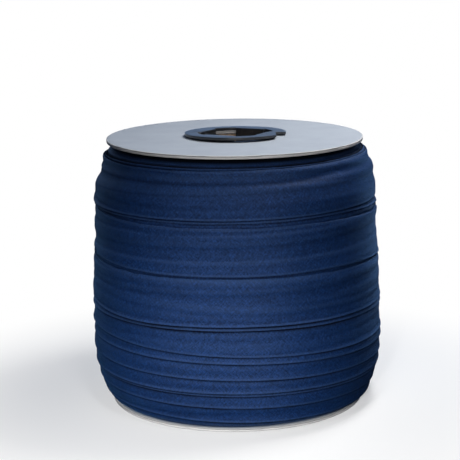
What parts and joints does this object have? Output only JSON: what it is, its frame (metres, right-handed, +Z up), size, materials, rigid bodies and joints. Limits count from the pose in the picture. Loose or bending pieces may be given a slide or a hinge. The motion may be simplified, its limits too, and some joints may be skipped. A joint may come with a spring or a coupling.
{
  "type": "reel of bias tape",
  "caption": "Full reel of folded navy bias tape wound between two round chipboard flanges, with a kraft paper core and a moulded plastic hub ring in the upper flange.",
  "frame": {"origin": "centre of the lower flange's underside, on the surface that the reel stands on", "axes": "+Z up along the reel's axis, with the hub ring at the top; the front that the picture shows faces -Y and +X is to the right"},
  "size_m": [0.146, 0.146, 0.1343],
  "materials": {
    "tape": "navy plain-woven cotton cut on the bias, matt with a faint sheen, folded edges",
    "chipboard": "pale grey uncoated chipboard, matt, with a layered cut edge",
    "kraft": "orange-brown kraft paper tube, spirally wound, matt",
    "hub_plastic": "black moulded plastic, satin, with softened edges"
  },
  "bodies": {
    "root": {"tape_winding": "tape", "top_flange": "chipboard", "bottom_flange": "chipboard", "core_tube": "kraft", "hub_insert": "hub_plastic"}
  },
  "joints": []
}
